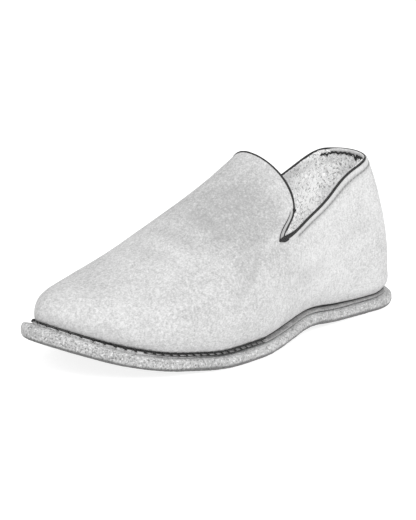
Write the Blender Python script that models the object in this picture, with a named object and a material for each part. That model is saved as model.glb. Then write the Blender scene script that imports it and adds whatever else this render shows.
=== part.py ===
"""Laceless slip-on shoe for the left foot, men's EU 42, standing empty on its sole.

Four pieces, each a closed solid: a slab outsole, a thin midsole strip, a one-piece
upper with its lasting margin turned in underneath, and an insole that closes it inside.

Frame: the toe points to -Y, +X is the lateral (little toe) side, +Z is up, and the
origin is under the middle of the bounding box, on the floor. Lengths are in
millimetres until place() turns them into metres. A station is the distance forward
of the outsole's rear end.
"""
from collections import namedtuple

import bmesh
import bpy
import numpy as np

MM = 0.001

# Driving dimensions of the shoe.
LENGTH = 290.0
MIDSOLE_HEEL = 1.3
MIDSOLE_TOE = 1.0
GAP = 0.3
WALL = 2.6
COLLAR_PAD = 0.7
RIM_SWELL = 0.4
COLLAR_HEIGHT = 82.5
TONGUE_STATION = 129.0

# Outsole: outline half widths at each side of the centre line, the rocker and thickness.
SoleSection = namedtuple("SoleSection", "station lateral medial underside thickness")
SOLE = (
    SoleSection(0, 31.2, 31.5, 0.0, 7.9),
    SoleSection(40, 31.2, 31.2, 0.0, 7.9),
    SoleSection(75, 34.2, 29.6, 1.4, 7.9),
    SoleSection(105, 38.6, 30.6, 4.4, 7.9),
    SoleSection(135, 46.2, 35.6, 1.7, 7.9),
    SoleSection(160, 51.6, 40.8, 0.0, 7.9),
    SoleSection(188, 53.2, 44.6, 0.0, 7.9),
    SoleSection(220, 48.4, 44.4, 2.2, 8.0),
    SoleSection(250, 44.2, 40.6, 7.0, 8.5),
    SoleSection(290, 41.2, 32.4, 19.4, 9.6),
)
HEEL_ROUND = 33.0
TOE_ROUND = 60.0
TOE_SWING = -8.0
TOE_SWING_START = 200.0
TOE_SWING_POWER = 1.6
HEEL_SQUARENESS = 2.1
EDGE_RADIUS = 3.0

# Upper: height of the top line and fullness of the section above its widest level.
LastSection = namedtuple("LastSection", "station crown fullness")
LAST = (
    LastSection(0, 108.0, 2.3),
    LastSection(60, 107.6, 1.3),
    LastSection(100, 105.5, 1.5),
    LastSection(120, 97.5, 1.75),
    LastSection(135, 89.0, 1.7),
    LastSection(160, 77.0, 1.6),
    LastSection(200, 56.0, 1.85),
    LastSection(250, 29.8, 2.2),
    LastSection(290, 17.0, 2.3),
)
Ledge = namedtuple("Ledge", "station width")
LEDGE = (Ledge(0, 3.6), Ledge(60, 2.1), Ledge(230, 2.1), Ledge(290, 7.0))
LAST_HEEL = 3.6
LAST_TOE = LENGTH - 7.0
LAST_HEEL_ROUND = 31.0
LAST_TOE_ROUND = 56.0
CROWN_ROUND = 28.0
CROWN_POWER = 2.4
WIDEST_LEVEL = 18.0
WIDEST_SHARE = 0.35
TUCK = 3.0
HEEL_TUCK = 3.7
HEEL_TUCK_LEVEL = 10.3
HEEL_LEAN = 17.0
HEEL_LEAN_SPAN = 55.0
HEEL_LEAN_POWER = 1.4
LEAN_END = 130.0
LEAN_FADE = 1.5

# Side view of the opening: station and height above the feather line.
NOTCH = (137.0, 50.0)
COLLAR_HANDLES = ((66.0, 78.0), (82.0, 49.0))
TONGUE_HANDLES = ((133.0, 64.0), (108.0, 53.5))
NOTCH_FOOT = 180.0

# Lasting margin under the insole, and the insole itself.
FEATHER_CHAMFER = 1.2
MARGIN_WIDTH = 10.0
MARGIN_THICKNESS = 2.0
INSOLE_THICKNESS = 3.0
INSOLE_CLEARANCE = 0.4
INSOLE_TOE_RELIEF = 2.6
INSOLE_BEVEL = 1.0
INSOLE_TOE_START = 225.0
INSOLE_TOE_END = 270.0
MIDSOLE_LEDGE_HEEL = 1.8
MIDSOLE_LEDGE_TOE = 0.8

# The collar is padded behind this stretch of stations, and only high up the wall.
PAD_START = 30.0
PAD_END = 90.0
PAD_LEVEL = 0.5

# Each line up the upper is cast outwards from a point on this axis inside the last.
AXIS_HEEL = 58.0
AXIS_TOE = 150.0
AXIS_HEIGHT = 30.0

# Mesh density.
SOLE_COLUMNS = 44
REAR_COLUMNS = 24
FRONT_COLUMNS = 22
RINGS = 15
RING_CROWDING = 1.4
FIBRE_SAMPLES = 61


def smooth_column(rows, name):
    """A monotone cubic curve through one column of a section table."""
    x = np.array([float(row.station) for row in rows])
    y = np.array([float(getattr(row, name)) for row in rows])
    slope = np.diff(y) / np.diff(x)
    tangent = np.zeros_like(y)
    tangent[0], tangent[-1] = slope[0], slope[-1]
    same_way = slope[:-1] * slope[1:] > 0
    pair = slope[:-1] + slope[1:]
    harmonic = 2 * slope[:-1] * slope[1:] / np.where(same_way, pair, 1.0)
    tangent[1:-1] = np.where(same_way, harmonic, 0.0)

    def value(station):
        station = np.clip(station, x[0], x[-1])
        i = np.clip(np.searchsorted(x, station, side="right") - 1, 0, len(x) - 2)
        width = x[i + 1] - x[i]
        s = (station - x[i]) / width
        return ((1 + 2 * s) * (1 - s) ** 2 * y[i] + s * (1 - s) ** 2 * width * tangent[i]
                + s ** 2 * (3 - 2 * s) * y[i + 1] - s ** 2 * (1 - s) * width * tangent[i + 1])

    return value


sole_lateral = smooth_column(SOLE, "lateral")
sole_medial = smooth_column(SOLE, "medial")
underside = smooth_column(SOLE, "underside")
sole_thickness = smooth_column(SOLE, "thickness")
crown_table = smooth_column(LAST, "crown")
fullness = smooth_column(LAST, "fullness")
ledge = smooth_column(LEDGE, "width")


def ramp(value, start, end):
    """0 before start, 1 after end, with a smooth step between them."""
    s = np.clip((value - start) / (end - start), 0, 1)
    return s * s * (3 - 2 * s)


def centre_line(station):
    """Sideways swing of the forefoot's centre line towards the big toe."""
    s = np.clip((station - TOE_SWING_START) / (LENGTH - TOE_SWING_START), 0, 1)
    return TOE_SWING * s ** TOE_SWING_POWER


def end_rounding(station, rear, front, rear_length, front_length):
    """Factor that closes an outline in two rounded ends."""
    heel = np.clip((rear + rear_length - station) / rear_length, 0, 1)
    toe = np.clip((station - front + front_length) / front_length, 0, 1)
    return (1 - heel ** HEEL_SQUARENESS) ** (1 / HEEL_SQUARENESS) * np.sqrt(1 - toe ** 2)


def sole_half(station, side):
    """Outsole half width on the lateral (+1) or medial (-1) side."""
    half = np.where(side > 0, sole_lateral(station), sole_medial(station))
    return half * end_rounding(station, 0.0, LENGTH, HEEL_ROUND, TOE_ROUND)


def midsole_thickness(station):
    return MIDSOLE_HEEL + (MIDSOLE_TOE - MIDSOLE_HEEL) * ramp(station, 100.0, 180.0)


def outsole_top(station):
    return underside(station) + sole_thickness(station)


def midsole_top(station):
    return outsole_top(station) + GAP + midsole_thickness(station)


def feather_level(station):
    """Height of the seam line where the upper turns in over the midsole."""
    return midsole_top(station) + GAP


def last_rounding(station):
    return end_rounding(station, LAST_HEEL, LAST_TOE, LAST_HEEL_ROUND, LAST_TOE_ROUND)


def crown(station):
    """Height of the upper's top line above the feather, rounded off at the toe."""
    s = np.clip((station - LAST_TOE + CROWN_ROUND) / CROWN_ROUND, 0, 1)
    return crown_table(station) * (1 - s ** CROWN_POWER) ** (1 / CROWN_POWER)


def last_half(station, height, side):
    """Half width of the straight last at a station and a height above the feather."""
    top = crown(station)
    widest = np.minimum(WIDEST_LEVEL, WIDEST_SHARE * top)
    rounding = last_rounding(station)
    sole = np.where(side > 0, sole_lateral(station), sole_medial(station))
    half = (sole - ledge(station)) * rounding
    below = np.clip(1 - height / np.maximum(widest, 1e-6), 0, 1)
    above = np.clip((height - widest) / np.maximum(top - widest, 1e-6), 0, 1)
    tucked = half - TUCK * rounding * below ** 2
    return np.where(above > 0, half * np.sqrt(1 - above ** fullness(station)), tucked)


def heel_shift(height):
    """Forward shift of the heel's back line: a tuck at the feather, a lean higher up."""
    tuck = HEEL_TUCK * np.clip(1 - height / HEEL_TUCK_LEVEL, 0, 1) ** 2
    rise = np.clip(height - HEEL_TUCK_LEVEL, 0, None) / HEEL_LEAN_SPAN
    return tuck + HEEL_LEAN * rise ** HEEL_LEAN_POWER


def bend(x, station, height):
    """Carry points of the straight last to the leaning, swung and rockered shoe."""
    fade = np.clip(1 - station / LEAN_END, 0, 1) ** LEAN_FADE
    moved = station + heel_shift(height) * fade
    return np.stack([x + centre_line(moved), moved, height + feather_level(moved)], -1)


def place(points):
    """Shoe coordinates in millimetres to the world in metres."""
    x, station, z = np.moveaxis(np.asarray(points, float), -1, 0)
    return np.stack([x - MIDDLE_X, LENGTH / 2 - station, z], -1) * MM


def outline_extent(side):
    station = np.linspace(0.0, LENGTH, 581)
    x = centre_line(station) + side * sole_half(station, side)
    return side * np.max(side * x)


MIDDLE_X = (outline_extent(1) + outline_extent(-1)) / 2


def evenly(curve, fractions):
    """Points of a polyline at fractions of its length."""
    step = np.linalg.norm(np.diff(curve, axis=0), axis=1)
    length = np.concatenate([[0.0], np.cumsum(step)])
    wanted = np.asarray(fractions) * length[-1]
    return np.stack([np.interp(wanted, length, curve[:, j]) for j in range(curve.shape[1])], -1)


def sole_ring(count):
    """Outsole outline as x, station pairs in a ring of 2 * count points."""
    angle = np.linspace(0, np.pi, 400)
    station = LENGTH * (1 - np.cos(angle)) / 2
    rings = []
    for side in (1, -1):
        curve = np.stack([centre_line(station) + side * sole_half(station, side), station], -1)
        rings.append(evenly(curve, np.linspace(0, 1, count + 1)))
    lateral, medial = rings
    return np.concatenate([lateral, medial[-2:0:-1]])


def inset_ring(ring, distance):
    """Move a plan outline inwards by a distance, or by one distance for each point."""
    along = np.roll(ring, -1, axis=0) - np.roll(ring, 1, axis=0)
    along /= np.linalg.norm(along, axis=1)[:, None]
    inward = np.stack([-along[:, 1], along[:, 0]], -1)
    return ring + inward * np.reshape(distance, (-1, 1))


def at_height(ring, level, lift=0.0):
    """Raise a plan outline to a level that depends on the station."""
    return np.column_stack([ring, level(ring[:, 1]) + lift])


def material(name, colour, roughness):
    """A Principled material with one colour."""
    made = bpy.data.materials.new(name)
    made.use_nodes = True
    shader = made.node_tree.nodes["Principled BSDF"]
    shader.inputs["Base Color"].default_value = (*colour, 1.0)
    shader.inputs["Roughness"].default_value = roughness
    made.diffuse_color = (*colour, 1.0)
    return made


def ladder(bm, ring, upward):
    """Close a ring of vertices with rungs from its lateral to its medial side."""
    half = len(ring) // 2
    for i in range(half):
        corners = [ring[i], ring[i + 1], ring[-i - 1], ring[-i]]
        unique = list(dict.fromkeys(corners))
        bm.faces.new(unique if upward else unique[::-1])


def solid(name, rings, finish, closed):
    """Loft a stack of rings into one closed body, capped or joined end to end."""
    bm = bmesh.new()
    loops = [[bm.verts.new(point) for point in place(ring)] for ring in rings]
    count = len(loops[0])
    pairs = list(zip(loops, loops[1:]))
    if closed:
        pairs.append((loops[-1], loops[0]))
    for lower, upper in pairs:
        for i in range(count):
            j = (i + 1) % count
            bm.faces.new((lower[i], lower[j], upper[j], upper[i]))
    if not closed:
        ladder(bm, loops[0], upward=False)
        ladder(bm, loops[-1], upward=True)
    bmesh.ops.recalc_face_normals(bm, faces=bm.faces)
    mesh = bpy.data.meshes.new(name)
    bm.to_mesh(mesh)
    bm.free()
    mesh.shade_smooth()
    mesh.set_sharp_from_angle(angle=np.radians(50))
    mesh.materials.append(finish)
    made = bpy.data.objects.new(name, mesh)
    bpy.context.scene.collection.objects.link(made)
    return made


def rounded_slab(ring, bottom, top, radius):
    """Rings of a slab whose two rims are rounded by the same radius."""
    corner = radius * (1 - np.sqrt(0.5))
    return [
        at_height(inset_ring(ring, radius), bottom),
        at_height(inset_ring(ring, corner), bottom, corner),
        at_height(ring, bottom, radius),
        at_height(ring, top, -radius),
        at_height(inset_ring(ring, corner), top, -corner),
        at_height(inset_ring(ring, radius), top),
    ]


def rim_curve():
    """Edge of the opening on one side, heel to notch to tongue, as station and height."""
    def bezier(points, count):
        s = np.linspace(0, 1, count)[:, None]
        a, b, c, d = (np.array(point, float) for point in points)
        return (1 - s) ** 3 * a + 3 * s * (1 - s) ** 2 * b + 3 * s ** 2 * (1 - s) * c + s ** 3 * d

    heel = (LAST_HEEL, COLLAR_HEIGHT)
    tongue = (TONGUE_STATION, float(crown(TONGUE_STATION)))
    return (bezier((heel, *COLLAR_HANDLES, NOTCH), 300),
            bezier((NOTCH, *TONGUE_HANDLES, tongue), 300))


def on_last(curve, side):
    """Station and height pairs to points on the straight last's side."""
    station, height = curve[:, 0], curve[:, 1]
    return np.stack([side * last_half(station, height, side), station, height], -1)


def rim_points(side):
    """Points of the opening's edge, one for each column, with one at the notch."""
    collar, tongue = rim_curve()
    rear = evenly(on_last(collar, side), np.linspace(0, 1, REAR_COLUMNS + 1))
    front = evenly(on_last(tongue, side), np.linspace(0, 1, FRONT_COLUMNS + 1))
    return np.concatenate([rear, front[1:]])


def feather_points(side):
    """Points of the seam line, one for each column, with one at the notch's own foot."""
    angle = np.linspace(0, np.pi, 600)
    station = LAST_HEEL + (LAST_TOE - LAST_HEEL) * (1 - np.cos(angle)) / 2
    height = np.full_like(station, FEATHER_CHAMFER)
    curve = on_last(np.stack([station, height], -1), side)
    split = np.argmin(np.abs(station - NOTCH_FOOT))
    rear = evenly(curve[:split + 1], np.linspace(0, 1, REAR_COLUMNS + 1))
    front = evenly(curve[split:], np.linspace(0, 1, FRONT_COLUMNS + 1))
    return np.concatenate([rear, front[1:]])


def cast(start, direction, side):
    """Distance along each ray from inside the last to its surface, by bisection."""
    near = np.zeros(len(direction))
    far = np.full(len(direction), 400.0)
    for _ in range(40):
        middle = (near + far) / 2
        x, station, height = (start + direction * middle[:, None]).T
        within = (station > LAST_HEEL) & (station < LAST_TOE) & (height < crown(station))
        inside = within & (np.abs(x) < last_half(station, height, side))
        near = np.where(inside, middle, near)
        far = np.where(inside, far, middle)
    return near


def fibre(foot, rim, side):
    """A line up the last's surface from the feather to the rim, in widening steps."""
    axis_station = AXIS_HEEL + (AXIS_TOE - AXIS_HEEL) * ramp(foot[1], 40.0, 230.0)
    start = np.array([0.0, axis_station, AXIS_HEIGHT])
    low, high = foot - start, rim - start
    low, high = low / np.linalg.norm(low), high / np.linalg.norm(high)
    angle = np.arccos(np.clip(low @ high, -1, 1))
    s = np.linspace(0, 1, FIBRE_SAMPLES)[:, None]
    direction = (np.sin((1 - s) * angle) * low + np.sin(s * angle) * high) / np.sin(angle)
    points = start + direction * cast(start, direction, side)[:, None]
    points[0], points[-1] = foot, rim
    return evenly(points, np.linspace(0, 1, RINGS + 1) ** RING_CROWDING)


def upper_surface():
    """Outer surface of the upper as rings of points from feather to rim."""
    sides = []
    for side in (1, -1):
        feet, rims = feather_points(side), rim_points(side)
        sides.append(np.array([fibre(foot, rim, side) for foot, rim in zip(feet, rims)]))
    lateral, medial = sides
    columns = np.concatenate([lateral, medial[-2:0:-1]])
    straight = columns.transpose(1, 0, 2)
    return bend(straight[..., 0], straight[..., 1], straight[..., 2])


def surface_normals(rings):
    """Outward unit normals of a stack of rings."""
    around = np.roll(rings, -1, axis=1) - np.roll(rings, 1, axis=1)
    upward = np.gradient(rings, axis=0)
    normal = np.cross(around, upward)
    normal /= np.linalg.norm(normal, axis=2)[..., None]
    for below, above in zip(normal, normal[1:]):
        # Beside the tongue the rim runs along the fibres, and the cross product may flip.
        above[(above * below).sum(axis=1) < 0] *= -1
    return normal


def build_upper(finish):
    """One hollow wall from the lasting margin up to the rounded edge of the opening."""
    outer = upper_surface()
    normal = surface_normals(outer)
    heel_share = 1 - ramp(outer[..., 1], PAD_START, PAD_END)
    level = np.linspace(0, 1, RINGS + 1)[:, None] ** RING_CROWDING
    wall = WALL + COLLAR_PAD * heel_share * ramp(level, PAD_LEVEL, 1.0)
    inner = outer - normal * wall[..., None]

    rim_out, rim_in = outer[-1], inner[-1]
    along = np.roll(rim_out, -1, axis=0) - np.roll(rim_out, 1, axis=0)
    beyond = np.cross(normal[-1], along)
    beyond /= np.linalg.norm(beyond, axis=1)[:, None]
    swell = beyond * wall[-1][:, None] * RIM_SWELL
    rim = [rim_out * 0.8 + rim_in * 0.2 + swell, rim_out * 0.2 + rim_in * 0.8 + swell]

    foot = outer[0][:, :2]
    bottom_outer = at_height(inset_ring(foot, FEATHER_CHAMFER), feather_level)
    bottom_inner = at_height(inset_ring(foot, MARGIN_WIDTH), feather_level)
    top_inner = at_height(inset_ring(foot, MARGIN_WIDTH), feather_level, MARGIN_THICKNESS)
    top_outer = at_height(inset_ring(foot, WALL), feather_level, MARGIN_THICKNESS)
    rings = [bottom_outer, *outer, *rim, *inner[:0:-1], top_outer, top_inner, bottom_inner]
    return solid("upper", rings, finish, closed=True), foot


def build_outsole(finish):
    rings = rounded_slab(sole_ring(SOLE_COLUMNS), underside, outsole_top, EDGE_RADIUS)
    return solid("outsole", rings, finish, closed=False)


def build_midsole(foot, finish):
    towards_toe = ramp(foot[:, 1], 110.0, 190.0)
    ledge_width = MIDSOLE_LEDGE_HEEL + (MIDSOLE_LEDGE_TOE - MIDSOLE_LEDGE_HEEL) * towards_toe
    ring = inset_ring(foot, -ledge_width)
    rings = [at_height(ring, outsole_top, GAP), at_height(ring, midsole_top)]
    return solid("midsole", rings, finish, closed=False)


def build_insole(foot, finish):
    """Insole board that lies on the lasting margin and fills the hollow inside it."""
    fill = inset_ring(foot, MARGIN_WIDTH + INSOLE_CLEARANCE)
    edge = WALL + INSOLE_CLEARANCE + INSOLE_TOE_RELIEF * ramp(foot[:, 1], INSOLE_TOE_START, INSOLE_TOE_END)
    board = inset_ring(foot, edge)
    softened = inset_ring(foot, edge + INSOLE_BEVEL)
    seat = MARGIN_THICKNESS + GAP
    rings = [
        at_height(fill, feather_level, 0.0),
        at_height(fill, feather_level, seat),
        at_height(board, feather_level, seat),
        at_height(board, feather_level, seat + INSOLE_THICKNESS - INSOLE_BEVEL),
        at_height(softened, feather_level, seat + INSOLE_THICKNESS),
    ]
    return solid("insole", rings, finish, closed=False)


def build():
    for made in list(bpy.data.objects):
        bpy.data.objects.remove(made, do_unlink=True)
    suede = material("suede", (0.74, 0.74, 0.73), 0.9)
    crepe = material("crepe_rubber", (0.47, 0.47, 0.46), 0.75)
    welt = material("midsole_leather", (0.40, 0.40, 0.39), 0.7)
    sock = material("insole_fabric", (0.66, 0.65, 0.63), 0.95)
    build_outsole(crepe)
    _, foot = build_upper(suede)
    build_midsole(foot, welt)
    build_insole(foot, sock)


build()
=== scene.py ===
# %% [markdown]
# # A laceless suede slip-on shoe
# One left shoe stands empty on its sole. Its upper is one skin of soft suede that grows into
# a tall rounded tongue, with a V cut at each side in place of laces. A curly fleece lines it,
# and it is stitched down to a thin midsole and a slab of speckled crepe rubber.
# The toe points to -Y, +X is the side of the little toe and +Z is up. Sizes are in
# millimetres until a point goes into a mesh, which Blender keeps in metres.

import math
from collections import namedtuple

import bmesh
import bpy
import numpy as np
from mathutils import Matrix, Vector, kdtree, noise
from mathutils.bvhtree import BVHTree


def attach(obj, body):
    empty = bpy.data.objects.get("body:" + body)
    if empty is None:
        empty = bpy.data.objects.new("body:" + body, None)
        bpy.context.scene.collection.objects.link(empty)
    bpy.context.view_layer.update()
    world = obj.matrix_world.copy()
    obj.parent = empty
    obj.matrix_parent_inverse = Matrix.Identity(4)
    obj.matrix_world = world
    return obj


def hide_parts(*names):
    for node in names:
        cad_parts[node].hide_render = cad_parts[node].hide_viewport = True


MM = 0.001
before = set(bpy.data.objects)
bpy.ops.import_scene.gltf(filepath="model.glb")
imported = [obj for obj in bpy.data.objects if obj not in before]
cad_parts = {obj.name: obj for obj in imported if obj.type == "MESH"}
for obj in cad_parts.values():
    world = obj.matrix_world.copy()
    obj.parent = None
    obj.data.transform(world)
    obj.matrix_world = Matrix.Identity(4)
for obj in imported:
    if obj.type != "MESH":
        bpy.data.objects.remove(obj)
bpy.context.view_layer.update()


# %% [markdown]
# ## Unzipping the upper into rows
# The CAD pieces arrive as loose triangles, so a copy is merged first. Subdivision and seams
# both want four-sided faces, in rows that follow the edge of the opening. The upper was laid
# out in such rows before it was cut into triangles, so they can be found again. The search
# starts at the turned-in margin under the shoe, which has one sharp lower edge.

# %% Merge a copy and find its first ring
def merged(node):
    """A CAD node's mesh with its loose triangles merged."""
    bm = bmesh.new()
    bm.from_mesh(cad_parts[node].data)
    bmesh.ops.remove_doubles(bm, verts=bm.verts, dist=0.01 * MM)
    return bm


def sharp_ring(bm, bend):
    """The lowest closed loop of edges whose faces meet at more than a given angle."""
    sharp = [edge for edge in bm.edges if edge.calc_face_angle() > bend]
    vert = min((vert for edge in sharp for vert in edge.verts), key=lambda vert: vert.co.z)
    ring = []
    edge = None
    while vert not in ring:
        ring.append(vert)
        edge = next(near for near in vert.link_edges if near in sharp and near != edge)
        vert = edge.other_vert(vert)
    return ring


upper_cage = merged("upper")
outside = upper_cage.verts.layers.float.new("outside")
margin_ring = sharp_ring(upper_cage, bend=math.radians(70))
print("the margin's lower edge has", len(margin_ring), "corners")

# %% [markdown]
# Beside that ring lies a closed strip of triangles, then another ring, and so on over the rim
# and down the inside. In each strip every second edge across is the diagonal of a four-sided
# face, and the diagonals are the longer half. Dissolving them brings the four-sided faces back.

# %% Unzip one ring after another
def strip_beside(bm, ring, used):
    """The triangles along the free side of a ring, in order."""
    strip = []
    edge = bm.edges.get(ring[:2])
    face = next(near for near in edge.link_faces if near not in used)
    for ahead, after in zip(ring[1:] + ring[:1], ring[2:] + ring[:2]):
        last = bm.edges.get((ahead, after))
        while last not in face.edges[:]:
            strip.append(face)
            edge = next(near for near in face.edges if ahead in near.verts and near != edge)
            face = next(near for near in edge.link_faces if near != face)
        edge = last
    return strip


def unzip(bm, ring):
    """All rings from the first one on, each in step with the last, and all diagonals."""
    rings, diagonals, used = [], [], set()
    while len(used) < len(bm.faces):
        rings.append(ring)
        strip = strip_beside(bm, ring, used)
        used.update(strip)
        before = strip[-1:] + strip[:-1]
        joints = [next(edge for edge in a.edges if edge in b.edges[:]) for a, b in zip(strip, before)]
        halves = joints[0::2], joints[-1:] + joints[1:-1:2]
        kept, longer = sorted(halves, key=lambda half: sum(edge.calc_length() for edge in half))
        diagonals += longer
        ring = [next(vert for vert in edge.verts if vert not in ring) for edge in kept]
    return rings, diagonals


rings, diagonals = unzip(upper_cage, margin_ring)
bmesh.ops.dissolve_edges(upper_cage, edges=diagonals, use_verts=False, use_face_split=False)
print("the upper has", len(rings), "rows of", {len(ring) for ring in rings}, "lines")

# %% [markdown]
# The highest corner is the tip of the tongue. The rows are turned so that row 0 passes through
# it and row 1, the outer edge of the opening, comes next. The lines are turned so that line 0
# starts at the tip and line 1 lies at +X. Row 16 is then the foot of the upper, where it meets
# the sole, which shoemakers call the feather line.

# %% Turn the rows and lines
RIM = 1
FEATHER = 16

row_verts = np.array(rings, dtype=object)
heights = np.array([[vert.co.z for vert in row] for row in row_verts])
top_row, tip_line = np.unravel_index(heights.argmax(), heights.shape)
row_verts = np.roll(row_verts, (-top_row, -tip_line), (0, 1))
if row_verts[1, 0].co.y > row_verts[0, 0].co.y:
    row_verts = np.roll(row_verts[::-1], 1, 0)
if row_verts[0, 1].co.x < row_verts[0, 0].co.x:
    row_verts = np.roll(row_verts[:, ::-1], 1, 1)
grid = np.array([[vert.co / MM for vert in row] for row in row_verts])
ROWS, LINES = grid.shape[:2]
print("tongue tip at", grid[0, 0].round(1), "and the row outside it at", grid[1, 0].round(1))

# %% [markdown]
# A smooth curve through the grid's points, in both directions, gives the wall's surface
# between them. Line 0 runs up the middle of the tongue. A quarter of the way round lies the
# notch of the outer side, half way round the middle of the heel, and then the other notch.

# %% Find points of the wall between its rows and lines
NOTCH_LINE = 22
HEEL_LINE = 46


def through(a, b, c, d, s):
    """A point of the smooth curve through b and c, with a and d as its outer neighbours."""
    return b + s * (c - a + s * (2 * a - 5 * b + 4 * c - d + s * (3 * (b - c) + d - a))) / 2


def spot(row, line):
    """Points of the wall at fractional rows and lines, in millimetres."""
    row, line = np.broadcast_arrays(np.asarray(row, float), np.asarray(line, float))
    r0, l0 = np.floor(row).astype(int), np.floor(line).astype(int)
    s, t = (row - r0)[..., None], (line - l0)[..., None]
    across = []
    for i in (-1, 0, 1, 2):
        near = [grid[(r0 + i) % ROWS, (l0 + j) % LINES] for j in (-1, 0, 1, 2)]
        across.append(through(*near, t))
    return through(*across, s)


def wall_normal(row, line):
    """Directions that point out of the wall's solid at fractional rows and lines."""
    up = spot(row - 0.05, line) - spot(row + 0.05, line)
    along = spot(row, line + 0.05) - spot(row, line - 0.05)
    normal = np.cross(along, up)
    return normal / np.linalg.norm(normal, axis=-1)[..., None]


def walked_along(points):
    """How far each point of a polyline lies from its start, along the line."""
    return np.concatenate([[0], np.cumsum(np.linalg.norm(np.diff(points, axis=0), axis=1))])


def down_from_rim(line, distance):
    """The point a given distance below the rim, along one line of the outside."""
    rows = np.linspace(RIM, RIM + 5, 200)
    return spot(np.interp(distance, walked_along(spot(rows, line)), rows), line)


print("outer notch at", spot(RIM, NOTCH_LINE).round(1), "heel at", spot(RIM, HEEL_LINE).round(1))

# %% [markdown]
# ## Arithmetic for materials
# A shader is a net of small nodes. Wrapping a socket in a class with the usual operators lets
# a mask be written as a sum, and each sign adds its node. Colours go through Mix nodes and
# directions through Vector Math nodes, because a plain Math node would turn them grey.

# %% Wrap a socket so that sums add nodes
class Wire:
    """An output socket of a material's node tree."""

    def __init__(self, tree, socket=None):
        self.tree = tree
        self.socket = socket

    def node(self, kind, settings=None, sockets=None, outlet=0):
        """Add a node: its settings first, then the values or wires of its inputs."""
        made = self.tree.nodes.new("ShaderNode" + kind)
        for name, value in (settings or {}).items():
            setattr(made, name, value)
        for name, value in (sockets or {}).items():
            if isinstance(value, Wire):
                self.tree.links.new(value.socket, made.inputs[name])
            else:
                made.inputs[name].default_value = value
        return Wire(self.tree, made.outputs[outlet])

    def combined(self, operation, first, second):
        return self.node("Math", {"operation": operation}, {0: first, 1: second})

    def __add__(self, other):
        return self.combined("ADD", self, other)

    def __sub__(self, other):
        return self.combined("SUBTRACT", self, other)

    def __mul__(self, other):
        return self.combined("MULTIPLY", self, other)

    def __rsub__(self, other):
        return self.combined("SUBTRACT", other, self)

    __radd__ = __add__
    __rmul__ = __mul__

    def ramp(self, low, high):
        """0 below low, 1 above high, with a smooth step between."""
        return self.node("MapRange", {"interpolation_type": "SMOOTHSTEP"},
                         {"Value": self, "From Min": low, "From Max": high})

    def stretched(self, scale):
        """Coordinates scaled along each axis, which makes a pattern on them longer or flatter."""
        return self.node("Mapping", {}, {"Vector": self, "Scale": scale})

    def grain(self, size, detail=2.0, rough=0.5, warp=0.0):
        """Cloudy noise whose lumps are about a given size in millimetres."""
        return self.node("TexNoise", {}, {"Vector": self, "Scale": 1 / (size * MM),
                                          "Detail": detail, "Roughness": rough, "Distortion": warp})

    def stored(self, name):
        """A value that was painted on the mesh's points under a name."""
        return self.node("Attribute", {"attribute_type": "GEOMETRY", "attribute_name": name}, outlet="Fac")

    # A Mix node keeps its factor at input 0, its colours at 6 and 7, and its colour result at 2.
    def tint(self, dark, light):
        """A colour that goes from dark to light as this value goes from 0 to 1."""
        return self.node("Mix", {"data_type": "RGBA"}, {0: self, 6: dark, 7: light}, 2)

    def towards(self, colour, amount):
        """This colour, mixed with another one by an amount."""
        return self.node("Mix", {"data_type": "RGBA"}, {0: amount, 6: self, 7: colour}, 2)

    def into(self, shader, name):
        """Plug this wire into one of the shader's inputs."""
        self.tree.links.new(self.socket, shader.inputs[name])


# %% [markdown]
# A finish starts as a Principled shader. Numbers that are the same all over are set on the
# shader's own sockets, and what changes over the surface is wired in. The patterns read the
# piece's own coordinates, which are metres, so sizes in millimetres are converted on the way.
# Bumps are stacked, so that coarse and fine relief add up.

# %% Start a finish
def grey(level):
    return (level, level, level, 1.0)


def new_finish(name, **fixed):
    """A material, its Principled shader, and a wire of the piece's own coordinates."""
    material = bpy.data.materials.new(name)
    material.use_nodes = True
    tree = material.node_tree
    shader = tree.nodes["Principled BSDF"]
    for socket, value in fixed.items():
        shader.inputs[socket.replace("_", " ")].default_value = value
    return material, shader, Wire(tree).node("TexCoord", outlet="Object")


def bumped(shader, *layers):
    """Feed Normal with layers of height, each one a wire and its depth in millimetres."""
    normal = None
    for height, depth in layers:
        sockets = {"Height": height, "Distance": depth * MM, "Strength": 1.0}
        if normal:
            sockets["Normal"] = normal
        normal = height.node("Bump", {}, sockets)
    normal.into(shader, "Normal")


# %% [markdown]
# ## Turning a cage into a finished piece
# Every piece ends the same way. Its bmesh becomes a mesh, a Subdivision Surface rounds it and
# is applied at once, and the object stays at the origin with its place in its mesh.

# %% Make, round and register a piece
def settled(bm, name, levels):
    """A smooth object from a bmesh, with its subdivision applied."""
    mesh = bpy.data.meshes.new(name)
    bm.to_mesh(mesh)
    bm.free()
    piece = bpy.data.objects.new(name, mesh)
    bpy.context.scene.collection.objects.link(piece)
    if levels:
        rounding = piece.modifiers.new("rounding", "SUBSURF")
        rounding.levels = levels
        rounding.render_levels = levels
        graph = bpy.context.evaluated_depsgraph_get()
        smooth = bpy.data.meshes.new_from_object(piece.evaluated_get(graph))
        piece.modifiers.clear()
        piece.data = smooth
    piece.data.shade_smooth()
    return piece


def finish_piece(piece, finish, node=None):
    """Give the piece its material and tell the frame what it is."""
    piece.data.materials.clear()
    piece.data.materials.append(finish)
    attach(piece, "root")
    if node:
        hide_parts(node)
    print(piece.name, "has", sum(len(face.vertices) - 2 for face in piece.data.polygons), "triangles")


# %% [markdown]
# In between, its points are read into arrays, pushed about and written back, which is quicker
# than a loop over points. A value can also be painted on them, such as how near they are to
# the rim, and the material reads it there.

# %% Read, move and paint points
def places(piece):
    """The piece's points in millimetres and its outward directions, as arrays."""
    arrays = []
    for kind in ("co", "normal"):
        flat = np.empty(len(piece.data.vertices) * 3, np.float32)
        piece.data.vertices.foreach_get(kind, flat)
        arrays.append(flat.reshape(-1, 3))
    return arrays[0] / MM, arrays[1].astype(float)


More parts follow.
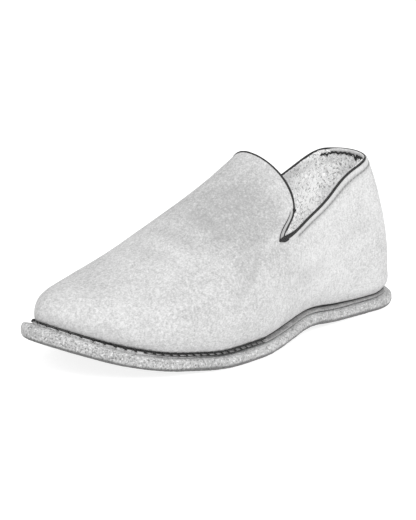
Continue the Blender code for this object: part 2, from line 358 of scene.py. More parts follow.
def move(piece, points):
    """Put the piece's points in new places, given in millimetres."""
    piece.data.vertices.foreach_set("co", (points * MM).astype(np.float32).ravel())
    piece.data.update()


def paint(piece, name, values):
    """Store a value on each point, for the material to read."""
    layer = piece.data.attributes.new(name, "FLOAT", "POINT")
    layer.data.foreach_set("value", np.asarray(values, np.float32))


def painted_values(piece, name):
    """The values that are stored on the points under a name."""
    values = np.empty(len(piece.data.vertices), np.float32)
    piece.data.attributes[name].data.foreach_get("value", values)
    return values


# %% [markdown]
# Some finishes and folds depend on how far a point lies from a line, such as the rim. A
# k-d tree of points along that line answers this for every vertex. Two curves then turn a
# distance into a strength: a step that rises between two values, and a bell that fades out.

# %% Measure the distance to a line
LINE_GAP = 0.4


def dense(points, gap=0.5):
    """A polyline with extra points, about one for each gap in millimetres."""
    points = np.asarray(points, float)
    walked = walked_along(points)
    wanted = np.linspace(0, walked[-1], max(2, int(walked[-1] / gap)))
    return np.stack([np.interp(wanted, walked, points[:, axis]) for axis in range(3)], -1)


def distance_to(points, line):
    """How far each point is from a dense line, and how far along it the nearest place is."""
    tree = kdtree.KDTree(len(line))
    for index, point in enumerate(line):
        tree.insert(point, index)
    tree.balance()
    found = [tree.find(point) for point in points]
    return np.array([hit[2] for hit in found]), np.array([hit[1] for hit in found]) / (len(line) - 1)


def step(values, low, high):
    """0 below low, 1 above high, with a smooth step between."""
    s = np.clip((values - low) / (high - low), 0, 1)
    return s * s * (3 - 2 * s)


def bell(distance, width):
    """1 at no distance, about a third at the given width, and soon 0 beyond it."""
    return np.exp(-(distance / width) ** 2)


all_round = np.linspace(0, LINES, 800)
rim_line = dense(spot(RIM - 0.5, all_round), LINE_GAP)
feather_line = dense(spot(FEATHER, all_round), LINE_GAP)
print("the opening's edge is", round(walked_along(rim_line)[-1]), "mm round")

# %% [markdown]
# ## The upper
# The real upper is one piece of soft suede, closed at the heel and pulled over a last. The
# CAD shell already has that shape, so its four-sided copy is subdivided twice. What is left
# to add is what hands and feet do to it: a slightly uneven surface, soft creases where the
# ball of the foot bends, a hem line under the stitches of the collar, and a closed back seam.
# Only the outside is worked on, so each corner first notes whether it lies outside.

# %% Round the upper
def skin_of(piece, points):
    """A tree of the piece's faces that finds the nearest place on them."""
    return BVHTree.FromPolygons(points.tolist(), [face.vertices[:] for face in piece.data.polygons])


for row_number, row in enumerate(row_verts):
    for vert in row:
        vert[outside] = float(row_number <= FEATHER + 1)
upper = settled(upper_cage, "upper_suede", 2)
points, normals = places(upper)
skin = skin_of(upper, points)
on_outside = step(painted_values(upper, "outside"), 0.5, 1.0)
rim_distance, _ = distance_to(points, rim_line)
feather_distance, _ = distance_to(points, feather_line)
print("upper has", len(points), "points,", round(float(on_outside.mean()), 2), "of them outside")


# %% [markdown]
# Each crease is a shallow trough between two low ridges. It is given by three points near the
# surface, a width and a depth, and it fades towards both of its ends.

# %% Lay the creases
Crease = namedtuple("Crease", "start middle end width depth")
CREASES = (
    Crease((40, -12, 62), (39, -20, 53), (43, -30, 43), 3.2, 0.55),
    Crease((42, -26, 50), (45, -37, 41), (46, -46, 31), 3.4, 0.50),
    Crease((30, -34, 68), (10, -30, 77), (-8, -33, 76), 5.0, 0.60),
    Crease((24, -52, 62), (2, -47, 69), (-18, -50, 64), 5.5, 0.65),
    Crease((30, -66, 50), (8, -64, 59), (-14, -68, 57), 5.0, 0.45),
    Crease((-38, -18, 50), (-38, -30, 42), (-41, -42, 32), 3.4, 0.55),
    Crease((-34, -34, 56), (-36, -46, 46), (-40, -58, 36), 3.2, 0.45),
    Crease((34, 60, 40), (37, 40, 36), (41, 18, 40), 6.0, 0.40),
    Crease((-30, 70, 44), (-32, 46, 38), (-36, 22, 42), 6.0, 0.40),
    Crease((26, 112, 60), (32, 92, 52), (35, 72, 54), 4.5, 0.30),
    Crease((-26, 112, 58), (-31, 92, 50), (-32, 72, 54), 4.5, 0.30),
)


def crease_line(crease):
    """The crease's curve, laid on the skin."""
    s = np.linspace(0, 1, 60)[:, None]
    start, middle, end = (np.array(point, float) for point in crease[:3])
    curve = (1 - s) ** 2 * start + 2 * s * (1 - s) * middle + s ** 2 * end
    return dense([skin.find_nearest(point)[0] for point in curve])


push = np.zeros(len(points))
for crease in CREASES:
    away, along = distance_to(points, crease_line(crease))
    fade = np.sin(np.pi * np.clip(along, 0, 1)) ** 0.8
    ridge = 0.4 * bell(away - 1.9 * crease.width, crease.width)
    push += crease.depth * fade * (ridge - bell(away, crease.width))
crease_shade = np.clip(-push, 0, 1)
print("creases push the skin", push.min().round(2), "to", push.max().round(2), "mm")


# %% [markdown]
# The hem line of the collar and the back seam are narrow troughs of the same kind, and the
# leather swells a little beside the seam. Low round the heel a stiff counter is glued between
# suede and lining. It keeps the back upright, so it pushes the heel's foot outwards.

# %% Press in the seams and the counter
HEM_DEPTH = 2.7
COUNTER_PUSH = 1.8

hem_lines = np.linspace(NOTCH_LINE + 3, LINES - NOTCH_LINE - 3, 160)
hem_line = dense([down_from_rim(line, HEM_DEPTH) for line in hem_lines])
heel_seam = dense(spot(np.linspace(RIM, FEATHER, 80), HEEL_LINE))
hem_distance, _ = distance_to(points, hem_line)
seam_distance, _ = distance_to(points, heel_seam)
push -= 0.35 * bell(hem_distance, 0.9)
push -= 0.45 * bell(seam_distance, 0.8)
push += 0.20 * bell(seam_distance - 2.4, 1.4)
push += COUNTER_PUSH * (step(points[:, 1], 60, 120) * bell(feather_distance - 4, 5))
for name, line in (("hem", hem_line), ("back seam", heel_seam)):
    print("the", name, "is", round(walked_along(line)[-1]), "mm long")

# %% [markdown]
# Last comes the hand of the maker: low lumps of 30 mm and fine dents of 5 mm, which leave the
# rim calm. Then the distances are painted on as soft masks: the rim, the hem, the bare cut
# edges beside the tongue, the creases and the foot.

# %% Rough up the skin and paint it
TUCK_LINE = 15.0


def lumpy(points, size):
    """Smooth noise at each point, with lumps of a given size in millimetres."""
    return np.array([noise.noise(Vector(point) / size) for point in points])


calm = step(rim_distance, 1, 8)
push += calm * (0.55 * lumpy(points, 30) + 0.10 * lumpy(points, 5))
move(upper, points + normals * (push * on_outside)[:, None])

cut_sides = ((TUCK_LINE + 0.5, NOTCH_LINE - 0.5), (LINES - NOTCH_LINE + 0.5, LINES - TUCK_LINE - 0.5))
cut_edges = [dense(spot(RIM, np.linspace(*ends, 60)) - (0, 1.3, 0)) for ends in cut_sides]
cut_distance, _ = distance_to(points, np.concatenate(cut_edges))
paint(upper, "rim", 1 - step(rim_distance, 0.6, 2.2))
# hem, cut, crease and low are masks for painted shade in the suede; low also carries a little dirt at the
# foot
paint(upper, "hem", bell(hem_distance, 1.2) * on_outside)
paint(upper, "cut", (1 - step(cut_distance, 0.9, 1.9)) * on_outside)
paint(upper, "crease", crease_shade * on_outside)
paint(upper, "low", (1 - step(feather_distance, 0, 9)) * on_outside)
skin = skin_of(upper, places(upper)[0])
print("the skin moves", push.min().round(2), "to", push.max().round(2), "mm")

# %% [markdown]
# ### Suede
# Suede is split leather brushed up into a short nap. It has hardly any gloss, and it keeps
# soft darker patches where hands have stroked it. The colour is four layers of noise from
# 40 mm clouds down to single fibres, with a large patch over the tongue where the nap lies the
# other way, paler quarters and fine scribbles. Painted shade darkens the creases, the hem's
# trough and the cut edges beside the tongue, and the foot next to the sole, which is also a
# little dirty.

# %% Mix the suede
suede, shader, place = new_finish("suede", Specular_IOR_Level=0.04)
clouds = place.grain(42, 3.0, 0.55, 0.6)
strokes = place.stretched((1.0, 0.35, 0.8)).grain(9, 4.0, 0.6, 0.8)
mottle = place.grain(2.0, 3.0, 0.65)
fibres = place.stretched((1.0, 0.6, 1.0)).grain(0.8, 2.0, 0.7)
tone = 0.50 + (clouds - 0.5) * 0.45 + (strokes - 0.5) * 0.45 + (mottle - 0.5) * 1.1 + (fibres - 0.5) * 1.5

stroked_spot = (0.016, -0.012, 0.083)
from_spot = place.node("VectorMath", {"operation": "DISTANCE"}, {0: place, 1: stroked_spot}, "Value")
stroked = 1 - (from_spot + place.grain(25, 3.0) * 0.03).ramp(0.018, 0.068)
quarters = place.node("SeparateXYZ", {}, {"Vector": place}, "Y").ramp(-0.04, 0.06)
tone = tone - stroked * 0.42 + quarters * 0.16 - 0.05
nap = tone.ramp(-0.3, 1.2).tint(grey(0.31), grey(0.66))

# painted shade in the creases, the hem's trough, the cut edges and at the foot, with a little dirt there;
# the scribbles are real marks
shade_and_grime = place.stored("crease") * 0.45 + place.stored("hem") * 0.7 + place.stored("low") * 0.15
scribbles = place.stretched((1.0, 0.6, 1.0)).grain(5, 5.0, 0.7, 1.5).ramp(0.60, 0.70)
shade_and_grime = shade_and_grime + place.stored("cut") * 0.6 + scribbles * 0.22
nap = nap.towards(grey(0.20), shade_and_grime * (0.6 + mottle * 0.6))
nap.towards(grey(0.52), place.stored("rim") * 0.4).into(shader, "Base Color")
(0.82 + fibres * 0.16).into(shader, "Roughness")
bumped(shader, (strokes, 0.25), (mottle, 0.22), (fibres, 0.16))
finish_piece(upper, suede, "upper")

# %% [markdown]
# ## Stitches
# A machine stitch seen from outside is a short length of thread that dips into the leather at
# both ends. A stretched ball with a few faces is enough for each, since there are hundreds.
# The row is walked at even steps along its line, and each stitch is laid on the skin.

# %% Sew the collar
def skin_at(point):
    """The nearest place on the upper's outside and the direction out of it."""
    found, normal, _, _ = skin.find_nearest(Vector(point))
    return found, normal


def stitch(bm, centre, along, out, size):
    """Add one stitch: length, width and height in millimetres, along a direction."""
    forward = along.normalized()
    side = out.cross(forward).normalized()
    out = forward.cross(side)
    turn = Matrix((forward, side, out)).transposed().to_4x4()
    shape = Matrix.Diagonal((*(Vector(size) * MM), 1.0))
    bmesh.ops.create_uvsphere(bm, u_segments=8, v_segments=6, radius=0.5,
                              matrix=Matrix.Translation(Vector(centre) * MM) @ turn @ shape)


def sewn_row(name, line, pitch, size, slant):
    """A row of stitches laid along a line on the skin, each turned by a slant."""
    bm = bmesh.new()
    even = dense(line, pitch)
    for before, after in zip(even, even[1:]):
        centre, out = skin_at((before + after) / 2)
        along = Matrix.Rotation(slant, 3, out) @ Vector(after - before).normalized()
        stitch(bm, centre + out * 0.1, along, out, size)
    print(name, "has", len(even) - 1, "stitches")
    return settled(bm, name, 0)


collar_thread = sewn_row("collar_stitches", hem_line, pitch=3.3, size=(2.8, 0.95, 0.7), slant=0.08)

# %% [markdown]
# The back seam is closed edge to edge, so its thread only shows as small cross stitches. They
# stop short of the rim and of the sole.

# %% Sew the back seam
seam_thread = sewn_row("back_seam_stitches", heel_seam[12:-10], pitch=3.4, size=(2.2, 0.55, 0.5),
                       slant=math.pi / 2)

# %% [markdown]
# ### Thread
# Thread is twisted, so fine slanting lines cross each stitch. The twist is a wave in the
# piece's own coordinates. The fine thread is grey, and the heavy one is waxed nearly black.

# %% Mix the threads
def thread(name, dark, light, size):
    """A yarn with a twist of a given size in millimetres."""
    material, shader, place = new_finish(name, Specular_IOR_Level=0.15)
    twist = place.node("TexWave", {"bands_direction": "DIAGONAL"},
                       {"Vector": place, "Scale": 0.35 / (size * MM), "Distortion": 2.0}, "Fac")
    fuzz = place.grain(0.5, 3.0)
    (twist * 0.6 + fuzz * 0.4).tint(grey(dark), grey(light)).into(shader, "Base Color")
    (0.65 + fuzz * 0.25).into(shader, "Roughness")
    bumped(shader, (twist, 0.12), (fuzz, 0.05))
    return material


fine_thread = thread("fine_thread", 0.16, 0.38, 0.6)
dark_thread = thread("waxed_thread", 0.012, 0.05, 0.9)
finish_piece(collar_thread, fine_thread)
finish_piece(seam_thread, fine_thread)

# %% [markdown]
# ## The topline piping
# A dark piping runs round the opening where suede and lining meet. It is painted shade: a dark
# cord that stands in for the shadow in the gap between suede and lining. A curve with a round
# bevel makes it, and every cord after it: the radius can change from point to point, and the
# curve becomes a mesh at the end.

# %% Turn lines into tubes
def tubes(name, lines, radii, sides=6, closed=False):
    """One mesh of round tubes along lines of points, with radii in millimetres."""
    curve = bpy.data.curves.new(name, "CURVE")
    curve.dimensions = "3D"
    curve.bevel_depth = MM
    curve.bevel_resolution = (sides - 4) // 2
    curve.use_fill_caps = True
    for line, radius in zip(lines, radii):
        spline = curve.splines.new("POLY")
        spline.points.add(len(line) - 1)
        spline.use_cyclic_u = closed
        for knot, point, size in zip(spline.points, line, np.broadcast_to(radius, len(line))):
            knot.co = (*(Vector(point) * MM), 1.0)
            knot.radius = size
    drawn = bpy.data.objects.new(name + "_line", curve)
    bpy.context.scene.collection.objects.link(drawn)
    mesh = bpy.data.meshes.new_from_object(drawn.evaluated_get(bpy.context.evaluated_depsgraph_get()))
    bpy.data.objects.remove(drawn)
    piece = bpy.data.objects.new(name, mesh)
    bpy.context.scene.collection.objects.link(piece)
    piece.data.shade_smooth()
    return piece


def tapered(count, first, last, power=0.5):
    """Part of a wave from 0 over 1 to 0, for radii that thin out at a thread's ends."""
    return np.sin(np.linspace(first, last, count)) ** power


# %% [markdown]
# The piping is thick along the collar, finer on the tongue and finest round the heel. At each
# upper corner of the tongue it is tucked in with a small knob, and just behind each notch it
# bunches up. Each of these is a band of lines, counted both ways from the tip of the tongue.

# %% Run the piping round the opening
lines = np.linspace(0, LINES, 900, endpoint=False)
tip_lines = np.minimum(lines, LINES - lines)
tongue_top = 1 - step(tip_lines, 4, 12)
tongue_side = step(tip_lines, 12, 14) * (1 - step(tip_lines, 20.8, 22))
tuck = bell(tip_lines - TUCK_LINE, 0.25)
bunched = step(tip_lines, 21.5, 22.2) * (1 - step(tip_lines, 22.5, 25.5))
round_heel = step(tip_lines, 41.5, 44)
inner_side = step(lines, 50, 54) * (1 - step(lines, 68, 70))

shadow_piping_radius = 0.80 - 0.3 * tongue_top - 0.2 * tongue_side - 0.5 * round_heel + 0.8 * tuck + 0.7 * bunched
shadow_piping_row = ROWS - 0.5 + 0.6 * (1 - step(tip_lines, 21.3, 22.4))
raised = wall_normal(shadow_piping_row, lines) * (0.1 - 0.25 * round_heel + 0.25 * inner_side)[:, None]
# painted shade: a dark cord in place of the shadow gap between suede and lining
shadow_piping = tubes("topline_shadow_piping", [spot(shadow_piping_row, lines) + raised], [shadow_piping_radius], 10, closed=True)
finish_piece(shadow_piping, dark_thread)

# %% [markdown]
# Down the sides of the tongue the leather's cut edge lies bare between the piping and a second,
# finer cord, which is laid two to three millimetres further forward.

# %% Edge the tongue
edge_width = np.array([0, 1, 0]) * np.linspace(2.2, 3.2, 60)[:, None]
side_lines = np.linspace(TUCK_LINE + 0.3, NOTCH_LINE - 0.4, 60)
edge_cords = [[skin_at(point)[0] for point in spot(RIM, side) - edge_width]
              for side in (side_lines, LINES - side_lines)]
tongue_cords = tubes("tongue_edge_cords", edge_cords, [0.3 * tapered(60, 0.15, 1.6)] * 2)
finish_piece(tongue_cords, dark_thread)

# %% [markdown]
# Round the back of the heel the lining is caught down with a hand-sewn zigzag. Noise makes its
# teeth and its thickness uneven.

# %% Catch down the lining at the heel
zigzag_lines = np.arange(41.0, LINES - 41.0, 0.3)
uneven = np.array([noise.noise(Vector((line * 2.3, 0, 7))) for line in zigzag_lines])
zigzag_rows = ROWS - 2.0 - (0.14 + 0.5 * uneven) * (np.arange(len(zigzag_lines)) % 2)
zigzag = spot(zigzag_rows, zigzag_lines) + wall_normal(zigzag_rows, zigzag_lines) * 0.8
heel_zigzag = tubes("heel_zigzag", [zigzag], [0.70 + 0.7 * uneven])
finish_piece(heel_zigzag, dark_thread)

# %% [markdown]
# Each notch would tear under strain, so its foot is held by a tack: four turns of thread laid
# side by side across it. Their points are taken from the skin, so that they hug the leather.

# %% Tack the notches
def tack(name, line):
    """Turns of thread across the foot of a notch."""
    foot = spot(RIM, line)
    turns = []
    for number in range(4):
        reach = np.linspace(-2.8, 5.8, 12)
        drop = 2.4 - 0.55 * number + 0.25 * np.sin(reach + number)
        laid = [skin_at(foot + (0, along, up)) for along, up in zip(reach, drop)]
        turns.append([found + out * 0.3 for found, out in laid])
    return tubes(name, turns, [0.62 * tapered(12, 0.15, 2.99)] * 4, 8)


for name, line in (("notch_tack_lateral", NOTCH_LINE), ("notch_tack_medial", LINES - NOTCH_LINE)):
    finish_piece(tack(name, line), dark_thread)

# %% [markdown]
# ## The welt cord
# A waxed cord of three strands lies in the corner between the forefoot and the sole. It runs
# round the toe from waist to waist, which both lie at Y -12. The strands are three helices
# round one line, which keeps to the corner just outside the upper's foot. They thin out
# towards the waist, where the cord tucks in, and at the tip of the toe.

# %% Twist the welt cord
TOE_LINES = 37
WAIST = -12
CORD_GAP = 0.45
TWIST = 3.6

front_lines = np.linspace(-TOE_LINES, TOE_LINES, 500)
corner = spot(FEATHER, front_lines) + wall_normal(FEATHER, front_lines) * 0.40 - np.array([0, 0, 0.2])
welt_line = dense(corner[corner[:, 1] < WAIST], CORD_GAP)
walked = np.arange(len(welt_line)) * CORD_GAP
ends = np.minimum(walked, walked[-1] - walked)
toe_tip = 1 - step(walked[-1] / 2 - ends, 12, 45)
cord_radius = 0.24 + 0.12 * step(ends, 40, 110) - 0.14 * toe_tip
ahead = np.gradient(welt_line, axis=0)
ahead /= np.linalg.norm(ahead, axis=1)[:, None]
sideways = np.cross(ahead, (0, 0, 1))
sideways /= np.linalg.norm(sideways, axis=1)[:, None]
upwards = np.cross(sideways, ahead)
strands = []
for number in range(3):
    turn = (walked / TWIST + number / 3)[:, None] * 2 * np.pi
    around = np.cos(turn) * sideways + np.sin(turn) * upwards
    strands.append(welt_line + around * cord_radius[:, None] * 0.55)
welt_cord = tubes("welt_cord", strands, [cord_radius * 0.62] * 3)
finish_piece(welt_cord, dark_thread)
print("the welt cord is", round(walked[-1]), "mm long")

# %% [markdown]
# Slanting whip stitches pull the cord down to the sole. Each one starts in the suede above
# the cord, bends over it and ends low on the edge of the midsole, a little further on. They
# are 5 mm apart at the waist and 6.6 mm at the toe, and finer at both.

# %% Whip the cord down
def whip_stitch(index):
    """The line of one stitch, from the suede over the cord to the edge of the sole."""
    out, on = sideways[index], ahead[index]
    reach = 0.15 + cord_radius[index]
    fall = 0.70 - 0.20 * step(ends[index], 40, 110)
    path = []
    for number, angle in enumerate(np.radians([65, 35, 0, -20, -20])):
        round_cord = out * math.cos(angle) + np.array([0, 0, 1]) * math.sin(angle)
        drop = max(0, number - 2) * (0.30 * out - np.array([0, 0, fall]))
        path.append(welt_line[index] + round_cord * reach + drop + on * (number - 2) * 0.95)
    return np.array(path)


whips, whip_radii = [], []
whip_place = 4.0
while whip_place < walked[-1] - 4.0:
    index = int(whip_place / CORD_GAP)
    whips.append(whip_stitch(index))
    thin = (0.5 + 0.5 * step(ends[index], 0, 30)) * (1 - 0.4 * toe_tip[index])
    whip_radii.append(np.array([0.10, 0.24, 0.40, 0.52, 0.40]) * thin)
    whip_place += 5.0 + 1.6 * step(ends[index], 60, 140)
whip_stitches = tubes("welt_stitches", whips, whip_radii)
finish_piece(whip_stitches, dark_thread)
print(len(whips), "whip stitches")

# %% [markdown]
# From the ball back to the waist a fine thread locks the lower ends of the stitches, so that
# they look like the links of a chain. There is one on each side of the shoe.

# %% Lock the stitches behind the ball
rear_part = range(8, 210, 2)
locks = [[whip_stitch(side * index)[-1] for index in rear_part] for side in (1, -1)]
lock_threads = tubes("welt_lock_threads", locks, [0.30 * tapered(len(rear_part), 0.2, 2.9)] * 2)
finish_piece(lock_threads, dark_thread)

# %% [markdown]
# Behind the waist a thin dark thread is pressed into the joint right round the heel, as painted
# shade: it stands in for the shadow gap between the upper and the midsole. It starts 4 mm before
# the cord ends, so that the two overlap.

# %% Lay a dark thread in the heel's joint, as painted shade
joint = spot(FEATHER + 0.25, np.linspace(8, LINES - 8, 700))
joint = [skin_at(point) for point in joint[joint[:, 1] > WAIST - 4]]
joint_radius = 0.27 * tapered(len(joint), 0.1, math.pi - 0.1, 0.3)
# painted shade: a dark thread laid in the joint in place of its shadow gap
joint_shadow_thread = tubes("heel_joint_shadow_thread", [[found + out * 0.12 for found, out in joint]], [joint_radius])
finish_piece(joint_shadow_thread, dark_thread)

# %% [markdown]
# ## The fleece lining
# The lining is a knitted cloth with a curly pile. Seen from a step away it reads as small
# round nubs with dark gaps between them, so the nubs are made in the mesh itself: a fine grid
# is laid over the inside of the wall, and the edges of a cell pattern press grooves into it.
# A swirl bends the cells. Its noise would start from the clock, so it is given a seed first,
# and the same fleece grows in every run.

# %% Grow the pile
noise.seed_set(5)


def curl(point, size):
    """The height of a tuft at a point, from 0 in a groove to 1 on top."""
    spread = Vector(point) / size
    spread += noise.noise_vector(spread * 0.7) * 0.5
    near, _ = noise.voronoi(spread)
    return min(1.0, (near[1] - near[0]) * 1.5) ** 0.7


def pile(points):
    """Fleece height for each point: big nubs, small curls on them, and worn hollows."""
    made = []
    for point in points:
        worn = 0.85 + 0.3 * noise.noise(Vector(point) / 14)
        made.append(worn * (0.68 * curl(point, 3.1) + 0.32 * curl(point, 1.5)))
    return np.array(made)


# %% [markdown]
# The lining is cut in two, as a shoemaker cuts it: one panel round the heel and one under the
# vamp. A closed sheet with a back and a front is laid over rows and lines of the wall's
# inside. Its back is sunk into the wall and its front lifted by the pile. It ends lower at the
# heel and beside the tongue, and it thins out at the rim and at the notches. A mask for painted
# shade on its brim is painted on for the material, and so is a glow of painted light that
# fades towards the rim.

# %% Cut the two panels
INNER_FOOT = ROWS - 17


def double_sheet(across, up):
    """A closed flat sheet of small faces, and its corners on a scale from 0 to 1."""
    bm = bmesh.new()
    bmesh.ops.create_grid(bm, x_segments=across, y_segments=up, size=0.5)
    front = bmesh.ops.extrude_face_region(bm, geom=bm.faces[:])["geom"]
    front = [part for part in front if isinstance(part, bmesh.types.BMVert)]
    bmesh.ops.translate(bm, vec=(0, 0, 1), verts=front)
    return bm, np.array([vert.co for vert in bm.verts]) + (0.5, 0.5, 0)


def lining_panel(name, first, last, across, up, ragged):
    """A closed fleece panel on the inside of the wall, from one line to another."""
    bm, flat = double_sheet(across, up)
    line = first + (last - first) * flat[:, 0]
    from_tip = np.minimum(np.abs(line), LINES - line)
    from_notch = np.abs(line) % (LINES - 2 * NOTCH_LINE) - NOTCH_LINE
    torn = np.array([noise.noise(Vector((value * 1.7, 0, 3))) for value in line])
    height = flat[:, 1] * (1 - ragged * (0.5 + torn))
    tall = 16.4 - 1.5 * step(from_tip, 41.5, 43.5) - 1.9 * (1 - step(from_tip, 20, 24))
    row = INNER_FOOT + tall * np.clip(height, 0, 1) ** (1 / 1.4)
    base = spot(row, line)
    tufts = pile(base)
    thinned = 1 - 0.75 * step(flat[:, 1], 0.975, 1.0)
    lift = np.where(flat[:, 2] > 0.5, 0.3 + 1.4 * tufts * thinned * (1 - bell(from_notch, 2.5)), -0.2)
    for vert, point in zip(bm.verts, base + wall_normal(row, line) * lift[:, None]):
        vert.co = Vector(point) * MM
    bmesh.ops.recalc_face_normals(bm, faces=bm.faces)
    piece = settled(bm, name, 0)
    sides = 1 - 0.8 * step(from_tip, 34, 42)
    paint(piece, "pile", tufts)
    # painted shade on the brim, weaker round the heel
    paint(piece, "brim", step(flat[:, 1], 0.72, 0.96) * sides)
    paint(piece, "glow", 1 - step(flat[:, 1], 0.45, 0.90) * sides)
    return piece


heel_lining = lining_panel("heel_lining", NOTCH_LINE, LINES - NOTCH_LINE, 300, 74, ragged=0.012)
vamp_lining = lining_panel("vamp_lining", -NOTCH_LINE, NOTCH_LINE, 150, 60, ragged=0.004)

# %% [markdown]
# ### Fleece
# Wool scatters light softly, so the shader is matt with a strong sheen. The grooves between
# the tufts get painted shade, darker than their tops, and dark specks are scattered over them
# at random. Light also passes on from fibre to fibre, deep into a shoe, and a weak emission in
# the fleece's own colour stands in for that, as painted light. It fades towards the rim, where
# the brim gets painted shade.

# %% Mix the fleece
fleece, shader, place = new_finish(
    "fleece", Sheen_Weight=0.6, Sheen_Roughness=0.6, Specular_IOR_Level=0.15, Emission_Strength=0.27)
wool = place.grain(1.1, 4.0, 0.65, 0.8)
specks = place.grain(1.4, 3.0, 0.65).ramp(0.53, 0.65)
worn = place.grain(11, 2.0, 0.5).ramp(0.40, 0.62)
# painted shade: the grooves between the tufts are darker than their tops
lit = (place.stored("pile") * 1.1 + (wool - 0.5) * 2.0).ramp(-0.02, 0.70).tint(grey(0.56), grey(1.0))
# painted shade on the brim of each panel
lit = lit.towards(grey(0.70), worn * 0.3).towards(grey(0.40), place.stored("brim") * 0.8)
lit = lit.towards(grey(0.06), specks * 0.8)
lit.into(shader, "Base Color")
lit.towards(grey(0.0), 1 - place.stored("glow")).into(shader, "Emission Color")
(0.88 + wool * 0.12).into(shader, "Roughness")
bumped(shader, (wool, 0.5), (place.grain(0.45, 2.0), 0.15))
finish_piece(heel_lining, fleece)
finish_piece(vamp_lining, fleece)

# %% [markdown]
# ## The insole
# A sock of the same fleece lies on the insole board. The CAD board's triangles are paired into
# four-sided faces, at whichever of three strengths leaves the fewest triangles. Its top is a
# ladder of long faces from side to side, so the rungs are cut into short steps.

# %% Copy the insole's board
def paired(node, pull):
    """A CAD node's mesh with its triangles paired where they make good four-sided faces."""
    bm = merged(node)
    bmesh.ops.join_triangles(
        bm, faces=bm.faces, angle_face_threshold=math.pi, angle_shape_threshold=math.pi,
        topology_influence=pull, cmp_seam=False, cmp_sharp=False, cmp_uvs=False,
        cmp_vcols=False, cmp_materials=False)
    return bm


def triangles_left(bm):
    return sum(len(face.verts) == 3 for face in bm.faces)


def cad_copy(node):
    """The cleanest four-sided copy of a CAD node's mesh, out of a few strengths of pairing."""
    best = min((1.05, 1.45, 2.0), key=lambda pull: triangles_left(paired(node, pull)))
    bm = paired(node, best)
    bm.normal_update()
    print(node, len(bm.faces), "faces,", triangles_left(bm), "of them triangles")
    return bm


def rungs(bm, upward):
    """The edges that lie between two faces of the flat top or bottom."""
    def flat(face):
        return face.normal.z * upward > 0.75 and face.calc_area() > 60 * MM ** 2
    return [edge for edge in bm.edges if len(edge.link_faces) == 2 and all(map(flat, edge.link_faces))]


sock_cage = cad_copy("insole")
bmesh.ops.subdivide_edges(sock_cage, edges=rungs(sock_cage, 1), cuts=23, use_grid_fill=True)

# %% [markdown]
# Subdivision has square faces to work on now. Then the pile grows upwards, and the heel has
# pressed a shallow bed into it.

# %% Cover the insole
sock = settled(sock_cage, "insole_sock", 2)
points, normals = places(sock)
upright = step(normals[:, 2], 0.5, 0.9)
tufts = pile(points) * upright
heel_bed = np.exp(-((points[:, 0] + 4) / 22) ** 2 - ((points[:, 1] - 92) / 30) ** 2)
pressed = np.array([0, 0, 1]) * (1.2 * heel_bed * upright)[:, None]
move(sock, points + normals * (1.5 * tufts)[:, None] - pressed)
paint(sock, "pile", tufts)
paint(sock, "brim", np.zeros(len(points)))
paint(sock, "glow", np.ones(len(points)))
finish_piece(sock, fleece, "insole")

# %% [markdown]
# ## The midsole
# A strip of board shows as a grey band between the upper and the crepe, from the ball back to
# the heel. Its two edges are bevelled before it is subdivided, which keeps them crisp. Glue
# holds it down on the crepe, so its underside is moved down to close the joint. Its edge is
# sanded uneven, and two values are painted on: its corners, and how far back it lies.

# %% Trim the midsole
strip_cage = cad_copy("midsole")
sharp_edges = [edge for edge in strip_cage.edges if edge.calc_face_angle(0) > math.radians(50)]
bmesh.ops.bevel(strip_cage, geom=sharp_edges, offset=0.22 * MM, affect="EDGES", segments=2,
                profile=0.5, material=-1)
strip = settled(strip_cage, "midsole_strip", 2)
points, normals = places(strip)
rear = step(points[:, 1], -85, -35)
sanded = 0.12 * lumpy(points, 6) * step(1 - np.abs(normals[:, 2]), 0.2, 0.8)
glued = np.array([0, 0, 1]) * ((0.45 * rear - 0.7) * step(-normals[:, 2], 0.05, 0.5))[:, None]
move(strip, points + normals * sanded[:, None] + glued)
# the corners are a mask for painted shade on the bevelled edges
paint(strip, "corner", 1 - step(np.abs(np.abs(normals[:, 2]) - 0.6), 0.05, 0.4))
paint(strip, "rear", rear)

# %% [markdown]
# ### Midsole board
# The board is pressed leather fibre, with streaks along its edge and dark flecks. Behind the
# ball it is darker, and there its bevelled corners carry painted shade, dark lines along its edges.

# %% Mix the midsole board
board, shader, place = new_finish("midsole_board", Specular_IOR_Level=0.3)
streaks = place.stretched((0.25, 0.25, 4.0)).grain(3.0, 4.0, 0.65, 0.5)
fibre = place.grain(0.8, 3.0, 0.6)
darker_behind = place.stored("rear")
weave = (streaks * 0.6 + fibre * 0.5).ramp(0.25, 0.85)
flecks = place.grain(1.1, 3.0, 0.6).ramp(0.50, 0.64)
tone = weave.tint(grey(0.38), grey(0.66)).towards(grey(0.17), darker_behind * (1.0 - weave * 0.75))
tone = tone.towards(grey(0.06), flecks * 0.6)
# painted shade on the bevelled corners behind the ball
tone.towards(grey(0.05), place.stored("corner") * darker_behind * 0.9).into(shader, "Base Color")
(0.6 + fibre * 0.3).into(shader, "Roughness")
bumped(shader, (streaks, 0.2), (fibre, 0.1))
finish_piece(strip, board, "midsole")

# %% [markdown]
# ## The crepe outsole
# Crepe is raw rubber pressed in sheets: a soft, matt slab full of pits, pale and dark specks.
# The CAD slab is subdivided, and pits of 2 mm and crumbs of 1 mm are pressed into the mesh,
# except on its hidden top. Its underside is painted darker: it is dirty from walking, and the
# darkening is also painted shade under the sole. Behind the toe it reaches a little way up the
# side.

# %% Cast the outsole
def crumb(point):
    """Height of the crepe's surface: pits with soft rims, crumbs, and low swells."""
    near, _ = noise.voronoi(Vector(point) / 2.4)
    pit = 0.6 * min(near[0], 0.6)
    return pit + 0.4 * noise.noise(Vector(point) / 1.3) + 0.5 * noise.noise(Vector(point) / 7)


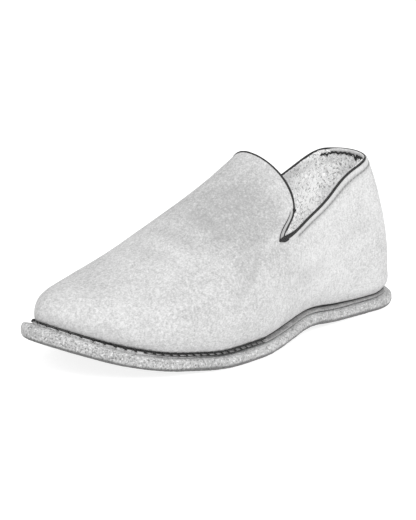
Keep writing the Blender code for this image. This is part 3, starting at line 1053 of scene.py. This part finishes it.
sole_cage = cad_copy("outsole")
bmesh.ops.subdivide_edges(sole_cage, edges=rungs(sole_cage, -1), cuts=8, use_grid_fill=True)
outsole = settled(sole_cage, "crepe_outsole", 3)
points, normals = places(outsole)
visible = 1 - step(normals[:, 2], 0.9, 0.99)
crumbs = np.array([crumb(point) for point in points])
move(outsole, points + normals * (visible * 0.26 * (crumbs - 0.25))[:, None])
behind_toe = step(points[:, 1], -110, -60)
paint(outsole, "crumb", crumbs)
# painted shade under the sole, together with its dirty underside
paint(outsole, "dirt_and_under_shade", step(-normals[:, 2] + 0.22 * behind_toe, 0.25, 0.6))

# %% [markdown]
# ### Crepe
# The colour follows the crumbs, with clouds of 14 mm and two kinds of specks over them.

# %% Mix the crepe
crepe, shader, place = new_finish("crepe_rubber", Specular_IOR_Level=0.3, Sheen_Weight=0.1)
cloud = place.grain(14, 3.0, 0.6)
crumbly = place.grain(1.6, 4.0, 0.65, 0.6)
dark_specks = place.grain(1.1, 3.0, 0.6).ramp(0.52, 0.66)
pale_specks = place.grain(1.3, 3.0, 0.6).ramp(0.52, 0.66)
tone = (0.5 + (cloud - 0.5) * 0.5 + (crumbly - 0.5) * 1.1 + place.stored("crumb") * 0.3).ramp(0.1, 1.0)
tone = tone.tint(grey(0.26), grey(0.52)).towards(grey(0.10), dark_specks * 0.65)
tone = tone.towards(grey(0.80), pale_specks * 0.6)
# painted shade under the sole, and the dirty underside
tone.towards(grey(0.05), place.stored("dirt_and_under_shade") * 0.8).into(shader, "Base Color")
(0.65 + crumbly * 0.3).into(shader, "Roughness")
bumped(shader, (crumbly, 0.35), (dark_specks, -0.25), (place.grain(0.5, 2.0), 0.08))
finish_piece(outsole, crepe, "outsole")

# %% [markdown]
# ## Studio
# A white floor under a white sky gives the plain pale ground. The floor glows a little, like
# a light table, so the shadow stays faint.

# %% Set the stage
floor_cage = bmesh.new()
bmesh.ops.create_grid(floor_cage, x_segments=4, y_segments=4, size=3.0)
floor = settled(floor_cage, "floor", 0)
paper, shader, place = new_finish(
    "paper_floor", Specular_IOR_Level=0.1, Emission_Strength=0.82, Emission_Color=grey(1.0))
place.grain(60, 3.0).tint(grey(0.38), grey(0.42)).into(shader, "Base Color")
(0.85 + place.grain(5, 2.0) * 0.1).into(shader, "Roughness")
floor.data.materials.append(paper)

world = bpy.data.worlds.new("studio")
world.use_nodes = True
sky = world.node_tree.nodes["Background"]
sky.inputs["Color"].default_value = grey(1.0)
sky.inputs["Strength"].default_value = 0.85
bpy.context.scene.world = world
bpy.context.scene.view_settings.view_transform = "Standard"
print("the floor has", len(floor.data.polygons), "faces")

# %% [markdown]
# Two large soft lights shape the shoe: a strong one over the little-toe side, and a weaker
# one from the other side and ahead.

# %% Hang the lights
def soft_light(name, position, size, power):
    """A large square light that faces the shoe."""
    light = bpy.data.lights.new(name, "AREA")
    light.size = size
    light.energy = power
    lamp = bpy.data.objects.new(name, light)
    lamp.location = position
    lamp.rotation_euler = (Vector((0, 0, 0.05)) - lamp.location).to_track_quat("-Z", "Y").to_euler()
    bpy.context.scene.collection.objects.link(lamp)
    print(name, "is", size, "m wide and has", power, "W")


soft_light("key_light", (1.5, -0.5, 1.5), 1.0, 26)
soft_light("fill_light", (-1.1, -1.3, 1.2), 1.2, 9)

# %% [markdown]
# ## Camera
# The camera stands a little over a metre and a half away, low at the shoe's front corner on
# the little-toe side. It aims at the middle of the shoe and is rolled by a few degrees.

# %% Point the camera
lens = bpy.data.cameras.new("camera")
lens.lens = 202.8
camera = bpy.data.objects.new("camera", lens)
camera.location = (1.041, -1.235, 0.487)
aim = Vector((0.0139, -0.0324, 0.0528)) - camera.location
level = aim.to_track_quat("-Z", "Y").to_matrix().to_4x4()
roll = Matrix.Rotation(math.radians(3.89), 4, "Z")
camera.matrix_world = Matrix.Translation(camera.location) @ level @ roll
bpy.context.scene.collection.objects.link(camera)
bpy.context.scene.camera = camera
print("the camera is", round(aim.length, 2), "m from the shoe")
